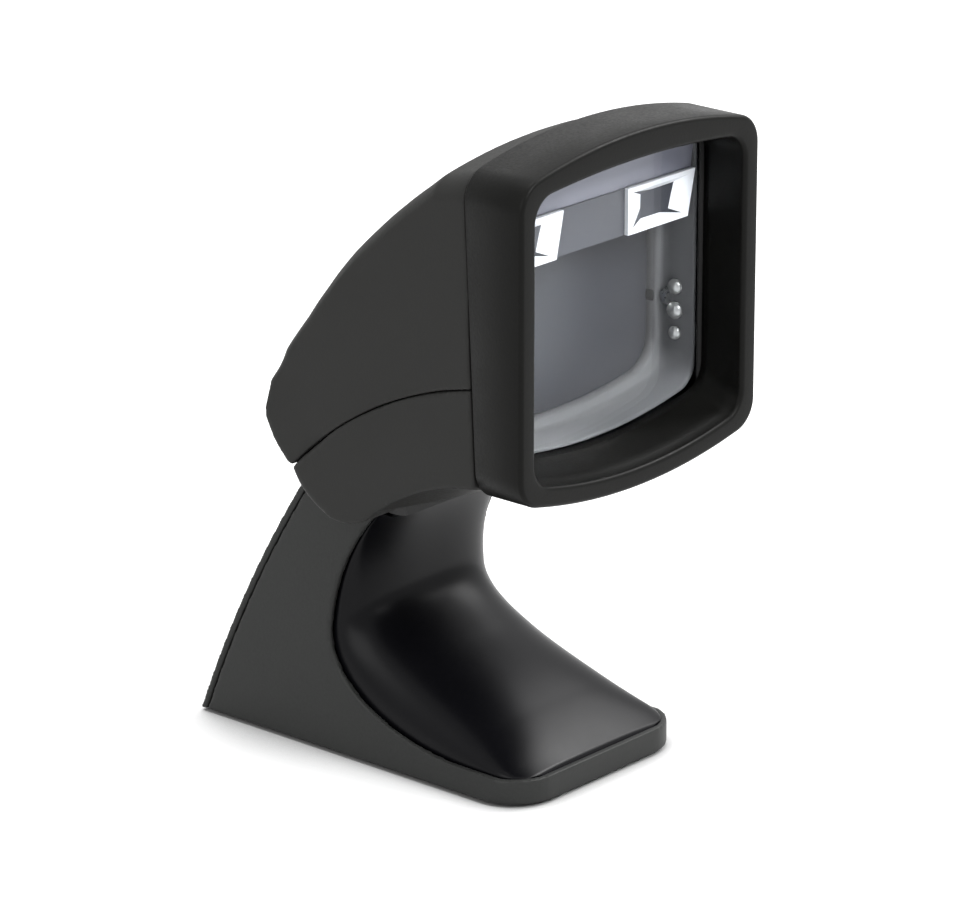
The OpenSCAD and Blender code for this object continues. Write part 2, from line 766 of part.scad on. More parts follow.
module bezel() {
  color([0.15, 0.15, 0.15]) on_axis() difference() {
    union() {
      difference() {
        along_y(-bezel_reach, -seam_reach + 10) outer_shape(0);
        behind_seam(0);
      }
      // lip that runs inside the covers
      intersection() {
        along_y(-seam_reach - 2, -seam_reach + 10) outer_shape(cover_wall + 0.4);
        difference() {
          behind_seam(-1);
          behind_seam(2.2);
          slab([-far, -far, -far], [far, far, rump_z]);
        }
      }
    }
    // hood, with its floor rising towards the window
    intersection() {
      along_y(-bezel_reach - 1, window_y + 1) hood_shape(0);
      translate([0, -bezel_reach, hood_bottom]) rotate([hood_slope, 0, 0])
        along_y(-20, 40) translate([0, floor_step + hood_bottom_r]) circle(hood_bottom_r, $fn = 180);
    }
    along_y(window_y - gasket_t, far / 8) hood_shape(window_lap + seam_gap - 1);
  }
}

module window() {
  color([0.75, 0.8, 0.85, 0.35]) on_axis()
    along_y(window_y, glass_rear) hood_shape(window_lap - 1);
}

module window_gasket() {
  color([0.05, 0.05, 0.05]) on_axis() along_y(window_y - gasket_t + fit, window_y - fit) difference() {
    hood_shape(window_lap - 1);
    hood_shape(-1);
  }
}

// Front view of the chamber's tray, and of the recess that the mirror lies in.
module tray_shape(g) {
  bezel_shape(chamber_w - 2 * g, hood_top - 3 - g, hood_bottom + 5.4 + g, top_r, bottom_r, hood_corner - 2);
}
module recess_shape(g) {
  bezel_shape(recess_w + 2 * g, recess_high + g, recess_low - g, far, bottom_r, 3);
}

// A flat plate on the mirror's 45 degree slope, from depth d0 to d1 behind its face.
module on_slope() { translate([0, mirror_mid[0], mirror_mid[1]]) rotate([45, 0, 0]) children(); }

module optical_chamber() {
  color([0.3, 0.31, 0.34]) on_axis() difference() {
    union() {
      along_y(chamber_front, chamber_front + chamber_wall) hood_shape(window_lap - 1.2);
      along_y(chamber_front, chamber_rear) tray_shape(0);
      // ears for the screws
      for (p = chamber_ears) {
        translate([p[0], ear_y, p[1]]) rotate([-90, 0, 0]) cylinder(d = 5.4, h = ear_t);
        slab([min(p[0], p[0] > 0 ? 20 : p[0]), ear_y, p[1] - 2.7],
          [max(p[0], p[0] > 0 ? p[0] : -20), ear_y + ear_t, p[1] + 2.7]);
      }
      // cell round the mirror
      intersection() {
        along_y(chamber_front + 3, far / 8) recess_shape(chamber_wall);
        on_slope() slab([-far, -far, -mirror_t - fit - 1], [far, far, far]);
      }
    }
    along_y(chamber_front - 1, chamber_rear - chamber_wall) tray_shape(chamber_wall);
    intersection() {
      along_y(chamber_front, far / 8) recess_shape(0);
      on_slope() slab([-far, -far, -mirror_t - fit], [far, far, far]);
    }
    // way up to the camera, and the open back above the mirror
    translate([0, camera_y, mirror_mid[1]]) cylinder(d = barrel_dia + 1, h = far / 4);
    slab([-recess_w / 2 - 3, chamber_rear + 0.2, mirror_mid[1] + mirror_l * 0.36], [recess_w / 2 + 3, far, far]);
    for (p = chamber_ears)
      translate([p[0], ear_y - 1, p[1]]) rotate([-90, 0, 0]) cylinder(d = screw_dia + 0.4, h = 4);
  }
}

module light_strip() {
  color([0.5, 0.5, 0.54]) on_axis() difference() {
    intersection() {
      slab([-bezel_w, strip_y, lens_z - lens_h / 2 - 1], [bezel_w, strip_y + strip_t, far]);
      along_y(-far, far) tray_shape(chamber_wall + 0.1);
    }
    both() slab([lens_pitch / 2 - lens_w / 2 + 1, -far, lens_z - lens_h / 2 + 1],
      [lens_pitch / 2 + lens_w / 2 - 1, far, lens_z + lens_h / 2 - 1]);
  }
}

// A lens block with a four-sided pyramid on its face.
module illumination_lens(s) {
  w = lens_w / 2;
  h = lens_h / 2;
  y0 = strip_y - 0.1;
  tip = strip_y - 4.6;
  color([0.9, 0.93, 0.96, 0.4]) on_axis() translate([s * lens_pitch / 2, 0, lens_z]) {
    polyhedron(
      [[-w, y0, -h], [w, y0, -h], [w, y0, h], [-w, y0, h], [-w * 0.25, tip, 0.8], [w * 0.25, tip, 0.8],
       [w * 0.25, tip, 1.8], [-w * 0.25, tip, 1.8]],
      [[0, 1, 2, 3], [0, 4, 5, 1], [1, 5, 6, 2], [2, 6, 7, 3], [3, 7, 4, 0], [4, 7, 6, 5]]
    );
    slab([-w + 1.1, y0 - eps, -h + 1.1], [w - 1.1, strip_y + strip_t, h - 1.1]);
  }
}
module illumination_lens_left() { illumination_lens(-1); }
module illumination_lens_right() { illumination_lens(1); }

module led_board() {
  color([0.1, 0.25, 0.16]) on_axis() difference() {
    slab([-led_board_x, led_board_y, lens_z - 6], [led_board_x, led_board_y + led_board_t, lens_z + 6]);
    slab([-6, led_board_y - 1, lens_z - 7], [6, led_board_y + 3, lens_z - 3]);
  }
}

module leds() {
  color([0.95, 0.93, 0.8]) on_axis() for (s = [-1, 1], k = [-1, 1])
    translate([s * lens_pitch / 2 + k * 3.6 - 1.6, led_board_y - 0.9, lens_z - 1.6]) cube([3.2, 0.9, 3.2]);
}

module indicator_leds() {
  x = chamber_w / 2 - chamber_wall - 0.05;
  color([0.8, 0.85, 0.85, 0.6]) on_axis() for (z = [27, 31.5, 36])
    translate([x - 2, chamber_front + 4.5, z]) {
      translate([0, -1.6, -1.6]) cube([2, 3.2, 3.2]);
      rotate([0, 90, 0]) sphere(1.2, $fn = 32);
    }
}

module fold_mirror() {
  color([0.16, 0.18, 0.22]) on_axis() on_slope()
    slab([-mirror_w / 2, -mirror_l / 2, -mirror_t], [mirror_w / 2, mirror_l / 2, 0]);
}

module sensor_board() {
  color([0.1, 0.25, 0.16]) on_axis()
    translate([-9, camera_y - 5.2, camera_low + barrel_l]) cube([18, 12.2, 1.2]);
}

module lens_barrel() {
  color([0.08, 0.08, 0.08]) on_axis() translate([0, camera_y, camera_low]) difference() {
    cylinder(d = barrel_dia, h = barrel_l);
    translate([0, 0, -1]) cylinder(d = barrel_dia - 3, h = barrel_l);
  }
}

module lens_element() {
  color([0.6, 0.65, 0.8, 0.5]) on_axis() translate([0, camera_y, camera_low + 0.8])
    cylinder(d = barrel_dia - 3 - 2 * fit, h = 1.6);
}

module main_board() {
  color([0.08, 0.28, 0.16]) on_axis() board_frame() difference() {
    slab([-board_w / 2, -board_l / 2, 0], [board_w / 2, board_l / 2, board_t]);
    for (p = board_corners) translate([p[0], p[1], -1]) cylinder(d = screw_dia + 0.3, h = 5);
  }
}

module board_chips() {
  color([0.09, 0.09, 0.1]) on_axis() board_frame() {
    for (b = [[-14, -2, 14, 14, 1.4], [4, 2, 10, 9, 1.1], [-16, -14, 7, 5, 1], [7, -9, 9, 6, 1]])
      translate([b[0], b[1], -b[4]]) cube([b[2], b[3], b[4]]);
    for (x = [-9:3:9]) translate([x, 13.4, -0.7]) cube([1.6, 1, 0.7]);
  }
}

module board_screws() {
  color([0.6, 0.6, 0.62]) on_axis() board_frame() for (p = board_corners)
    translate([p[0], p[1], 0]) {
      translate([0, 0, -1.4]) cylinder(d = screw_head, h = 1.4);
      translate([0, 0, -0.2]) cylinder(d = screw_dia, h = 5.2);
    }
}

module beeper() {
  color([0.06, 0.06, 0.06]) on_axis() board_frame() translate([21, 6, -4.6]) difference() {
    cylinder(d = 11, h = 4.6);
    translate([0, 0, -1]) cylinder(d = 2, h = 2.4);
  }
}

module cable_jack() {
  color([0.12, 0.12, 0.12]) on_axis() difference() {
    slab([-jack_w / 2, jack_rear - socket_d - 2.6, jack_low + jack_board_t],
      [jack_w / 2, jack_rear - 3.4, jack_low + jack_board_t + jack_h]);
    socket_space(0, jack_rear - socket_d - 0.8, far);
    slab([-jack_w / 2 - 1, jack_rear - 7, jack_low + jack_board_t + jack_h - 2.2],
      [jack_w / 2 + 1, far, far]);
  }
}

module jack_contacts() {
  color([0.85, 0.7, 0.3]) on_axis() for (k = [-3.5:1:3.5])
    translate([k * 1.2 - 0.2, jack_rear - socket_d - 0.8, jack_low + jack_board_t + jack_wall]) {
      cube([0.4, 5.5, 0.35]);
      cube([0.4, 0.35, 4]);
    }
}

module jack_board() {
  color([0.08, 0.28, 0.16]) on_axis()
    slab([-10.5, -4, jack_low], [10.5, jack_rear - 4.8, jack_low + jack_board_t]);
}

module chamber_screws() {
  color([0.6, 0.6, 0.62]) on_axis() for (p = chamber_ears)
    translate([p[0], ear_y, p[1]]) rotate([-90, 0, 0]) {
      translate([0, 0, -1.3]) cylinder(d = screw_head, h = 1.3);
      translate([0, 0, -0.2]) cylinder(d = screw_dia, h = ear_t + 5.4);
    }
}

module keeper_plate() {
  color([0.55, 0.55, 0.57]) on_axis() difference() {
    arc_band(keel_r - cover_wall - 1.4, keel_r - cover_wall - 0.1, 276, 306, 24);
    for (x = [-8, 8]) slab([x - 1, -4, -far], [x + 1, 15, 0]);
  }
}

module trigger_board() {
  color([0.1, 0.25, 0.16]) on_axis() translate([0, back_axis[0], back_axis[1]]) on_ray(button_turn, 0)
    slab([-10.5, -7, trigger_seat - switch_t - trigger_board_t], [10.5, 7, trigger_seat - switch_t]);
}

module trigger_switch() {
  color([0.8, 0.8, 0.8]) on_axis() translate([0, back_axis[0], back_axis[1]]) on_ray(button_turn, 0) {
    slab([-3, -3, trigger_seat - switch_t], [3, 3, trigger_seat - 1.8]);
    translate([0, 0, trigger_seat - 1.8 - eps]) cylinder(d = 3, h = 1.8 - button_travel - 0.2);
  }
}

module trigger_button() {
  color([0.12, 0.12, 0.12]) on_axis() translate([0, back_axis[0], back_axis[1]]) on_ray(button_turn, 0) {
    button_plan(0, trigger_seat, back_r + button_rise);
    button_plan(1.4, trigger_seat, trigger_seat + button_flange);
  }
}

base_shell();
front_panel();
rear_panel();
base_plate();
ballast();
non_slip_pad();
base_screws();
tilt_screws();
clamp_bar();
spring_washers();
friction_pads();
saddle();
saddle_magnets();
upper_cover();
lower_cover();
bezel();
window();
window_gasket();
optical_chamber();
light_strip();
illumination_lens_left();
illumination_lens_right();
led_board();
leds();
indicator_leds();
fold_mirror();
sensor_board();
lens_barrel();
lens_element();
main_board();
board_chips();
beeper();
board_screws();
cable_jack();
jack_contacts();
jack_board();
chamber_screws();
keeper_plate();
trigger_board();
trigger_switch();
trigger_button();
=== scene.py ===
# %% [markdown]
# # A counter barcode scanner, built up in Blender
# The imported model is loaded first. Every part of it already sits in its true place, in metres,
# so each new piece below is drawn straight where the real one belongs and needs no fitting.
# Sizes are given in millimetres from the axis on which the head tilts, as on a workshop drawing.

# %% Load the frame
import bpy
import bmesh
import json
import math
import numpy as np
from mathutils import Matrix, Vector, bvhtree

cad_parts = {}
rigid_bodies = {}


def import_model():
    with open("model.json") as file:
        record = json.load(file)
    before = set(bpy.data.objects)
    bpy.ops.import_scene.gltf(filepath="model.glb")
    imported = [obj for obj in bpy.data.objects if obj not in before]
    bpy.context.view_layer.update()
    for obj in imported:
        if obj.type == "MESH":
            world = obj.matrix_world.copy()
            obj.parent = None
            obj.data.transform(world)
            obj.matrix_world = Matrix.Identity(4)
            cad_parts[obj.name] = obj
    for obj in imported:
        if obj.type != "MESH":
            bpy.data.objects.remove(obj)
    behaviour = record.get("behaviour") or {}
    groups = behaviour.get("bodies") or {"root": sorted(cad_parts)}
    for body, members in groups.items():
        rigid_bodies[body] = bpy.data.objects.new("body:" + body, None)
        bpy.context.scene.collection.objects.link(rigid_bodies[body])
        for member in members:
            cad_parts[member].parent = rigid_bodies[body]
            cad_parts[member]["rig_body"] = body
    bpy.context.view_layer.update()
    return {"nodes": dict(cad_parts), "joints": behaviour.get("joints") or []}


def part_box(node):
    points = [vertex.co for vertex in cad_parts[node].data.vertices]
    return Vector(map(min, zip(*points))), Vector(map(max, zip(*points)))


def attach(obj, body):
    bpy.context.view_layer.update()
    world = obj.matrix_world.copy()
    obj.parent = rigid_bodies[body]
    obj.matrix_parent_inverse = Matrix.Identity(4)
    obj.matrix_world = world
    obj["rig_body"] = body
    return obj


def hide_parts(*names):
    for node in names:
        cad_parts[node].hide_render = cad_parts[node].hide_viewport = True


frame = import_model()
MM = 0.001
tilt = next(j for j in frame["joints"] if j["name"] == "saddle_tilt")
TILT_AXIS = np.array(tilt["pos_m"]) / MM
FOOT_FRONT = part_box("base_shell")[0].y / MM
print("tilt axis", TILT_AXIS, "foot front", FOOT_FRONT, "parts", len(frame["nodes"]))

# %% [markdown]
# ## Camera
# A scanner's catalogue picture is taken with a long lens from far away, which keeps the edges
# nearly parallel. A wide lens close by would be the other way, but it makes the head look too
# large for its foot. The camera looks down a little, from the front left corner.

# %% Camera
EYE = Vector((-0.8255, -0.7279, 0.4410))
GAZE = Vector((0.71270, 0.62266, -0.32303))
lens = bpy.data.cameras.new("camera")
lens.lens = 197.94
lens.sensor_width = 36
lens.clip_start = 0.05
camera = bpy.data.objects.new("camera", lens)
camera.location = EYE
camera.rotation_euler = GAZE.to_track_quat("-Z", "Y").to_euler()
bpy.context.scene.collection.objects.link(camera)
bpy.context.scene.camera = camera
bpy.context.scene.view_settings.view_transform = "Standard"
print("camera at", tuple(round(v, 3) for v in EYE))

# %% [markdown]
# ## Floor and light
# The set is a white table under soft boxes. A very bright lamp would make the table white, but
# it would bleach the black plastic too. So the floor glows by itself instead, for the camera and
# for mirrors only, and it glows less in the nook under the foot: that is the soft shadow.

# %% Shader nodes in one line each
def node(tree, kind, inputs=None, **settings):
    """Adds a shader node, with its settings, and with a value or a link for each input."""
    made = tree.nodes.new(kind)
    for key, value in settings.items():
        setattr(made, key, value)
    for key, value in (inputs or {}).items():
        if isinstance(value, bpy.types.NodeSocket):
            tree.links.new(value, made.inputs[key])
        else:
            made.inputs[key].default_value = value
    return made


def plain_rays(tree):
    """1 for rays from the camera, and for those that a mirror or glass sends on."""
    path = node(tree, "ShaderNodeLightPath").outputs
    either = node(tree, "ShaderNodeMath", {0: path["Is Camera Ray"], 1: path["Is Glossy Ray"]},
                  operation="MAXIMUM")
    return node(tree, "ShaderNodeMath", {0: either.outputs[0], 1: path["Is Transmission Ray"]},
                operation="MAXIMUM").outputs[0]


# %% Floor
FLOOR_R, FLOOR_SIDES, FLOOR_GREY = 8, 64, (0.45, 0.45, 0.45, 1)
NOOK_REACH, NOOK_DEEP, NOOK_OPEN, GLOW = 0.03, 0.45, 0.97, 0.9
WHITE = (1, 1, 1, 1)
rim = np.linspace(0, 2 * math.pi, FLOOR_SIDES, endpoint=False)
floor_mesh = bpy.data.meshes.new("floor")
floor_mesh.from_pydata([(FLOOR_R * math.cos(a), FLOOR_R * math.sin(a), 0) for a in rim], [],
                       [list(range(FLOOR_SIDES))])
floor = bpy.data.objects.new("floor", floor_mesh)
bpy.context.scene.collection.objects.link(floor)
floor_paint = bpy.data.materials.new("floor_white")
floor_paint.use_nodes = True
tree = floor_paint.node_tree
tree.nodes.clear()
matte = node(tree, "ShaderNodeBsdfDiffuse", {"Color": FLOOR_GREY})
glow = node(tree, "ShaderNodeEmission", {"Color": WHITE})
nook = node(tree, "ShaderNodeAmbientOcclusion", {"Distance": NOOK_REACH}, samples=16)
shade = node(tree, "ShaderNodeMapRange", {0: nook.outputs["AO"], 1: NOOK_DEEP, 2: NOOK_OPEN, 3: 0.0, 4: GLOW})
lit = node(tree, "ShaderNodeMath", {0: plain_rays(tree), 1: shade.outputs[0]}, operation="MULTIPLY")
tree.links.new(lit.outputs[0], glow.inputs["Strength"])
table = node(tree, "ShaderNodeAddShader", {0: matte.outputs[0], 1: glow.outputs[0]})
node(tree, "ShaderNodeOutputMaterial", {"Surface": table.outputs[0]})
floor_mesh.materials.append(floor_paint)
print("floor", 2 * FLOOR_R, "m across")

# %% World and lamps
SEEN, FILL = 1.0, 0.30
world = bpy.data.worlds.new("studio")
bpy.context.scene.world = world
world.use_nodes = True
tree = world.node_tree
tree.nodes.clear()
seen = node(tree, "ShaderNodeBackground", {"Color": WHITE, "Strength": SEEN})
fill = node(tree, "ShaderNodeBackground", {"Color": WHITE, "Strength": FILL})
mix = node(tree, "ShaderNodeMixShader", {0: plain_rays(tree), 1: fill.outputs[0], 2: seen.outputs[0]})
node(tree, "ShaderNodeOutputWorld", {"Surface": mix.outputs[0]})

LIT_SPOT = Vector((0, 0, 0.07))
SOFT_BOXES = {  # place in metres, side in metres, watts
    "key": ((0.1, -1.1, 1.0), 0.5, 13),
    "sheen": ((0.9, -0.2, 0.93), 0.6, 6),
    "spark": ((0.79, -0.36, 0.93), 0.2, 5),
    "side": ((-1.3, -0.1, 0.7), 0.9, 7),
    "top": ((0.1, 0.2, 1.4), 0.9, 8),
}
for name, (place, size, watts) in SOFT_BOXES.items():
    lamp = bpy.data.lights.new(name, "AREA")
    lamp.size = size
    lamp.energy = watts
    soft_box = bpy.data.objects.new(name, lamp)
    soft_box.location = place
    soft_box.rotation_euler = (LIT_SPOT - Vector(place)).to_track_quat("-Z", "Y").to_euler()
    bpy.context.scene.collection.objects.link(soft_box)
print("soft boxes", list(SOFT_BOXES))

# %% [markdown]
# ## Moulded plastic
# The housings are moulded in steel that a spark has pitted, so the plastic comes out with a fine
# even grain. That grain could be modelled, but it is far smaller than any face. Noise in object
# space does it here: the fine noise makes the grain, and both noises together vary the colour
# and the roughness a little, as moulded plastic does.

# %% Plastic
CLOUD_SCALE, NOISE_LOW, NOISE_HIGH = 60.0, 0.7, 1.3
GRAIN_DEPTH = 0.00005


def plastic(name, colour, roughness, grain=0.5, grain_size=0.35, gloss=0.4, mottle=0.06, spread=0.08):
    """Moulded plastic: grain_size in millimetres, mottle and spread vary its colour and roughness."""
    paint = bpy.data.materials.new(name)
    paint.use_nodes = True
    tree = paint.node_tree
    tree.nodes.clear()
    where = node(tree, "ShaderNodeTexCoord").outputs["Object"]
    cloud = node(tree, "ShaderNodeTexNoise", {"Vector": where, "Scale": CLOUD_SCALE, "Detail": 3.0,
                                              "Roughness": 0.6})
    fine = node(tree, "ShaderNodeTexNoise", {"Vector": where, "Scale": 1000 / grain_size / 2, "Detail": 2.0,
                                             "Roughness": 0.7})
    both = node(tree, "ShaderNodeMath", {0: cloud.outputs["Fac"], 1: fine.outputs["Fac"]}, operation="ADD")
    tone = node(tree, "ShaderNodeMapRange", {0: both.outputs[0], 1: NOISE_LOW, 2: NOISE_HIGH, 3: 0.0, 4: 1.0})
    dark = [c * (1 - mottle * 2) for c in colour] + [1]
    light = [c * (1 + mottle * 2) for c in colour] + [1]
    hue = node(tree, "ShaderNodeMix", {0: tone.outputs[0], 6: dark, 7: light}, data_type="RGBA")
    rough = node(tree, "ShaderNodeMapRange", {0: both.outputs[0], 1: NOISE_LOW, 2: NOISE_HIGH,
                                              3: roughness - spread, 4: roughness + spread})
    bump = node(tree, "ShaderNodeBump", {"Height": fine.outputs["Fac"], "Strength": grain,
                                         "Distance": GRAIN_DEPTH})
    skin = node(tree, "ShaderNodeBsdfPrincipled", {
        "Base Color": hue.outputs[2], "Roughness": rough.outputs[0], "Normal": bump.outputs[0],
        "Specular IOR Level": gloss})
    node(tree, "ShaderNodeOutputMaterial", {"Surface": skin.outputs[0]})
    return paint


def finished(name, colour, roughness, metallic=0.0, transmission=0.0, gloss=0.5, ior=1.5, grain=0.15,
             grain_size=0.2, mottle=0.05, spread=None):
    """The same grain and mottling, on metal, rubber, glass or a small part."""
    spread = min(0.06, roughness * 0.5) if spread is None else spread
    paint = plastic(name, colour, roughness, grain, grain_size, gloss, mottle, spread)
    skin = next(n for n in paint.node_tree.nodes if n.type == "BSDF_PRINCIPLED")
    skin.inputs["Metallic"].default_value = metallic
    skin.inputs["Transmission Weight"].default_value = transmission
    skin.inputs["IOR"].default_value = ior
    return paint


# %% [markdown]
# ## Housings
# The stand is dark grey with a glossy black front panel, the head's covers are a shade darker,
# and the bezel is almost black. The blacks need low gloss: a black that mirrors the white room
# would turn grey.

# %% Housings
FINISH = {
    "stand_grey": plastic("stand_grey", (0.030, 0.031, 0.030), 0.45, gloss=0.2),
    "stand_gloss": plastic("stand_gloss", (0.003, 0.003, 0.004), 0.32, grain=0.06, gloss=0.12, mottle=0.04,
                           spread=0.03),
    "base_black": finished("base_black", (0.012, 0.012, 0.012), 0.6),
    "cover_grey": plastic("cover_grey", (0.022, 0.022, 0.021), 0.55, gloss=0.17),
    "bezel_black": plastic("bezel_black", (0.006, 0.006, 0.0055), 0.4, gloss=0.09),
}
print("housings", list(FINISH))

# %% [markdown]
# ## Metal, rubber and electronics
# These parts are mostly hidden, and show when the head is lifted off or seen from below. Each
# still gets the colour and roughness of its real material, from the same recipe.

# %% Metal, rubber and electronics
FINISH.update({
    "steel": finished("steel", (0.5, 0.5, 0.5), 0.3, metallic=1.0),
    "rubber": finished("rubber", (0.01, 0.01, 0.01), 0.85),
    "screw_steel": finished("screw_steel", (0.6, 0.6, 0.6), 0.3, metallic=1.0),
    "friction": finished("friction", (0.5, 0.45, 0.35), 0.7),
    "magnet": finished("magnet", (0.55, 0.56, 0.58), 0.25, metallic=1.0),
    "circuit_board": finished("circuit_board", (0.02, 0.09, 0.045), 0.4),
    "led": finished("led", (0.85, 0.82, 0.6), 0.4),
    "lens_glass": finished("lens_glass", (0.5, 0.55, 0.7), 0.03, gloss=0.8, grain=0.0),
    "chip_black": finished("chip_black", (0.015, 0.015, 0.016), 0.5),
    "contact_gold": finished("contact_gold", (0.8, 0.6, 0.25), 0.25, metallic=1.0),
    "switch_white": finished("switch_white", (0.7, 0.7, 0.68), 0.5),
})
print("finishes so far", len(FINISH))

# %% [markdown]
# ## Window and what lies behind it
# The parts behind the window are smooth, so they get hardly any grain: a grain seen through
# glass looks like dirt. The window bends light less than real glass does, because it is a thin
# flat pane, and a weak bend keeps it clear. Lamps would throw a dark shadow through it, so for
# shadows alone the pane counts as clear air.

# %% Window and what lies behind it
FINISH.update({
    "glass": finished("glass", (0.95, 0.97, 1.0), 0.02, transmission=1.0, ior=1.18, grain=0.0, mottle=0.005,
                      spread=0.001),
    "chamber_grey": finished("chamber_grey", (0.14, 0.14, 0.14), 0.4, gloss=0.3, grain=0.02, mottle=0.02,
                             spread=0.02),
    "strip_grey": finished("strip_grey", (0.22, 0.22, 0.255), 0.35, grain=0.01, mottle=0.01, spread=0.01),
    "bar_grey": finished("bar_grey", (0.05, 0.052, 0.06), 0.3, grain=0.01, mottle=0.01, spread=0.01),
    # clear_lens is painted near white: a painted highlight for the glitter of the clear lens blocks.
    "clear_lens": finished("clear_lens", (0.95, 0.96, 0.97), 0.1, gloss=1.0, grain=0.0, mottle=0.01),
    "mirror_dark": finished("mirror_dark", (0.036, 0.038, 0.044), 0.34, grain=0.0, mottle=0.01, spread=0.01),
    "lamp_clear": finished("lamp_clear", (0.45, 0.45, 0.43), 0.15, metallic=0.6, grain=0.0),
})
tree = FINISH["glass"].node_tree
surface = next(n for n in tree.nodes if n.type == "OUTPUT_MATERIAL").inputs["Surface"]
pane = next(n for n in tree.nodes if n.type == "BSDF_PRINCIPLED")
clear_air = node(tree, "ShaderNodeBsdfTransparent", {"Color": (0.95, 0.96, 0.97, 1)})
shadow = node(tree, "ShaderNodeLightPath").outputs["Is Shadow Ray"]
through = node(tree, "ShaderNodeMixShader", {0: shadow, 1: pane.outputs[0], 2: clear_air.outputs[0]})
tree.links.new(through.outputs[0], surface)

# %% Finishes onto the imported parts
# The saddle sits in the gap under the head, where shade falls, so it gets the darker base_black finish in
# place of its own: painted shade.
PAINTED_SHADE = {"saddle": "base_black"}
for part_name, part in frame["nodes"].items():
    for k, old in enumerate(part.data.materials):
        part.data.materials[k] = FINISH[PAINTED_SHADE.get(part_name, old.name.split(".")[0])]
print("finishes on", len(frame["nodes"]), "parts")

# %% [markdown]
# ## Making pieces
# Every new piece is plain mesh code: points in millimetres from the tilt axis, and the faces
# between them. Modelling by hand would give the same shapes, but numbers can be changed and run
# again. A piece rides on one moving body, so it follows the head when the stand tilts.

# %% Mesh helpers
WELD = 1e-7


def piece(name, spots, faces, body, slot, replaced=(), smooth=True, finish=None):
    """A new mesh from points in millimetres from the tilt axis, riding on a body."""
    mesh = bpy.data.meshes.new(name)
    mesh.from_pydata([tuple((np.array(v) + TILT_AXIS) * MM) for v in spots], [], faces)
    mesh.validate()
    bm = bmesh.new()
    bm.from_mesh(mesh)
    bmesh.ops.remove_doubles(bm, verts=bm.verts, dist=WELD)
    bmesh.ops.recalc_face_normals(bm, faces=bm.faces)
    bm.to_mesh(mesh)
    bm.free()
    made = bpy.data.objects.new(name, mesh)
    bpy.context.scene.collection.objects.link(made)
    mesh.materials.append(FINISH[finish or slot])
    if smooth:
        mesh.shade_smooth()
    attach(made, body)
    if replaced:
        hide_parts(*replaced)
    print(name, len(mesh.vertices), "points")
    return made


def ring_faces(rows, cols, close_rows=False):
    """Four-sided faces between rows of points, each row closed into a ring."""
    faces = []
    for i in range(rows if close_rows else rows - 1):
        a, b = i * cols, (i + 1) % rows * cols
        faces += [(a + j, a + (j + 1) % cols, b + (j + 1) % cols, b + j) for j in range(cols)]
    return faces


def baked(made):
    """Applies every modifier."""
    graph = bpy.context.evaluated_depsgraph_get()
    graph.update()
    final = bpy.data.meshes.new_from_object(made.evaluated_get(graph))
    old = made.data
    made.modifiers.clear()
    made.data = final
    bpy.data.meshes.remove(old)


# %% [markdown]
# ## Softened mouldings
# A moulded shell never has a sharp edge: the steel of the mould leaves a small radius. The
# solids' edges are sharp. A bevel would round them, but it breaks where thin walls meet. So each
# shell is skinned again with an even fine grid and smoothed over a few times. That rounds edges
# by about half a millimetre and leaves the flats alone.

# %% Softened mouldings
def softened(name, source, voxel, passes, keep):
    """A copy of a moulding with a small radius on every edge."""
    old = frame["nodes"][source]
    mesh = old.data.copy()
    mesh.name = name
    bm = bmesh.new()
    bm.from_mesh(mesh)
    bmesh.ops.remove_doubles(bm, verts=bm.verts, dist=WELD)
    bm.to_mesh(mesh)
    bm.free()
    made = bpy.data.objects.new(name, mesh)
    bpy.context.scene.collection.objects.link(made)
    even_skin = made.modifiers.new("even skin", "REMESH")
    even_skin.mode = "VOXEL"
    even_skin.voxel_size = voxel * MM
    soft_edges = made.modifiers.new("soft edges", "SMOOTH")
    soft_edges.factor = 0.5
    soft_edges.iterations = passes
    lighter = made.modifiers.new("lighter", "DECIMATE")
    lighter.ratio = keep
    baked(made)
    made.data.shade_smooth()
    slot = old.data.materials[0].name.split(".")[0]
    made.data.materials.clear()
    made.data.materials.append(FINISH[slot])
    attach(made, old["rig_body"])
    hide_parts(source)
    print(name, len(made.data.vertices), "points")
    return made


softened("base_side_shell", "base_shell", 0.45, 4, 0.35)
softened("base_rear_panel", "rear_panel", 0.4, 2, 0.3)
covers = [softened("head_upper_cover", "upper_cover", 0.45, 3, 0.35),
          softened("head_lower_cover", "lower_cover", 0.45, 3, 0.35)]
cap = softened("trigger_cap", "trigger_button", 0.3, 3, 0.5)

# %% [markdown]
# ## Head profile
# Seen from the side, the head's back is one long arc that turns round into the rump and the
# keel. A lattice could bend the covers to it, but a lattice this coarse would bend the seam too.
# Here the covers are moved along rays from a point inside the head, by a table of angle and
# movement. One set of numbers then serves both covers and the trigger, and the movement fades
# towards the inside, so that the parts within stay clear.

# %% Where the skin lies now
MIDDLE = np.array([-12.0, 22.0])
FIRST_TURN, LAST_TURN, NEAR = -60, 119, math.radians(0.8)


def from_middle(points):
    """Angle and distance of (y, z) points from the middle of the head."""
    away = points - MIDDLE
    return np.arctan2(away[:, 1], away[:, 0]), np.hypot(away[:, 0], away[:, 1])


def spots_of(made):
    """The points of a mesh, in millimetres from the tilt axis."""
    spots = np.empty(len(made.data.vertices) * 3)
    made.data.vertices.foreach_get("co", spots)
    return spots.reshape(-1, 3) / MM - TILT_AXIS


def put_back(made, spots):
    made.data.vertices.foreach_set("co", ((spots + TILT_AXIS) * MM).ravel())
    made.data.update()


turns = np.radians(np.arange(FIRST_TURN, LAST_TURN, 1.0))
turn, reach = from_middle(np.concatenate([spots_of(cover)[:, 1:] for cover in covers]))
skin_reach = np.array([reach[np.abs(turn - k) < NEAR].max() for k in turns])
print("head reaches", {int(math.degrees(k)): round(m, 1) for k, m in zip(turns[::24], skin_reach[::24])})

